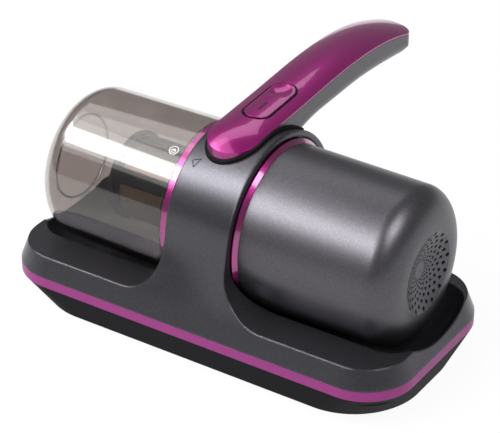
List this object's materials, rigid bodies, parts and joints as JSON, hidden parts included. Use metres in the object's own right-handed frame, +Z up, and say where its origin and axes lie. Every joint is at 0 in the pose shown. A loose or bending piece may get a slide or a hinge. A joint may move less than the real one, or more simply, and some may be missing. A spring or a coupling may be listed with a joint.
{
  "type": "carpet cleaner machine",
  "caption": "Hand-held cleaner with a horizontal see-through dust cup, a motor canister, a rear grip with thumb button, and a boat-shaped base with a sole brush.",
  "frame": {"origin": "on the floor under the cylinder axis, midway between the ends of the base", "axes": "+X along the cylinder towards the exhaust end, -Y towards the front with the nose of the handle, +Z up"},
  "size_m": [0.25, 0.2223, 0.1266],
  "materials": {
    "shell": "satin metallic",
    "trim": "satin metallic",
    "ring": "glossy metallic",
    "cover": "glossy",
    "skirt": "fine satin",
    "black": "satin",
    "clear": "clear",
    "window": "clear",
    "housing": "satin metallic",
    "handle": "satin",
    "button": "satin",
    "mesh": "fine mesh",
    "paper": "pleated",
    "foam": "open cell",
    "felt": "flocked",
    "bristle": "bristles",
    "rubber": "matt",
    "tread": "matt",
    "steel": "satin",
    "reflector": "bright",
    "board": "varnished",
    "cells": "film sleeve",
    "lamp": "lamp glass"
  },
  "bodies": {
    "main_body": {"body_shell": "shell", "trim_band": "trim", "base_skirt": "skirt", "sole_plate": "black", "felt_strips": "felt", "left_ring": "ring", "right_ring": "ring", "motor_housing": "housing", "exhaust_grille": "housing", "exhaust_foam": "foam", "fan_cover": "black", "fan_seal": "rubber", "fan_motor": "steel", "motor_mount": "rubber", "motor_spider": "black", "bulkhead": "black", "cup_seal": "rubber", "suction_duct": "black", "brush_chamber": "black", "roller_bushes": "steel", "drive_belt": "rubber", "brush_motor": "steel", "motor_bracket": "steel", "lamp_window": "window", "lamp_reflector": "reflector", "lamp_tube": "lamp", "lamp_holders": "black", "wheel_axles": "steel", "safety_switch": "black", "switch_post": "black", "handle_cover": "cover", "handle_lower_shell": "handle", "handle_gasket": "rubber", "button_bezel": "black", "button_switch": "black", "handle_board": "board", "battery_cells": "cells", "battery_holder": "black", "main_board": "board", "charging_jack": "black", "base_screws": "steel", "handle_screws": "steel"},
    "filter_unit": {"filter_cage": "black", "filter_mesh": "mesh", "filter_element": "paper", "filter_flange": "black"},
    "cup": {"dust_cup": "clear"},
    "button": {"power_button": "button"},
    "brush": {"brush_core": "black", "bristle_strips": "bristle", "roller_shaft": "steel", "roller_pulley": "black"},
    "brush_drive": {"motor_pulley": "black"},
    "fan": {"impeller": "black"},
    "rear_wheel_left": {"wheel_left": "tread"},
    "rear_wheel_right": {"wheel_right": "tread"},
    "plunger": {"safety_plunger": "black"}
  },
  "joints": [
    {"name": "cup_pull", "type": "slide", "parent": "main_body", "child": "filter_unit", "axis": [-1, 0, 0], "range_m": [0, 0.005]},
    {"name": "cup_twist", "type": "hinge", "parent": "filter_unit", "child": "cup", "pos_m": [-0.06, 0, 0.0653], "axis": [1, 0, 0], "range_deg": [0, 25]},
    {"name": "button_press", "type": "slide", "parent": "main_body", "child": "button", "axis": [0, 0, -1], "range_m": [0, 0.0012], "stiffness_N_per_m": 800, "springref_m": -0.002},
    {"name": "brush_spin", "type": "hinge", "parent": "main_body", "child": "brush", "pos_m": [0, -0.04, 0.0125], "axis": [1, 0, 0], "continuous": true},
    {"name": "brush_motor_spin", "type": "hinge", "parent": "main_body", "child": "brush_drive", "pos_m": [0.0775, -0.046, 0.0248], "axis": [1, 0, 0], "continuous": true},
    {"name": "fan_spin", "type": "hinge", "parent": "main_body", "child": "fan", "pos_m": [0.01, 0, 0.0653], "axis": [1, 0, 0], "continuous": true},
    {"name": "wheel_left_roll", "type": "hinge", "parent": "main_body", "child": "rear_wheel_left", "pos_m": [-0.0915, 0.028, 0.008], "axis": [1, 0, 0], "continuous": true},
    {"name": "wheel_right_roll", "type": "hinge", "parent": "main_body", "child": "rear_wheel_right", "pos_m": [0.0915, 0.028, 0.008], "axis": [1, 0, 0], "continuous": true},
    {"name": "plunger_drop", "type": "slide", "parent": "main_body", "child": "plunger", "axis": [0, 0, -1], "range_m": [0, 0.0025], "stiffness_N_per_m": 100, "springref_m": 0.008}
  ],
  "couplings": [
    {"joint": "brush_motor_spin", "follows": "brush_spin", "ratio": 2}
  ]
}
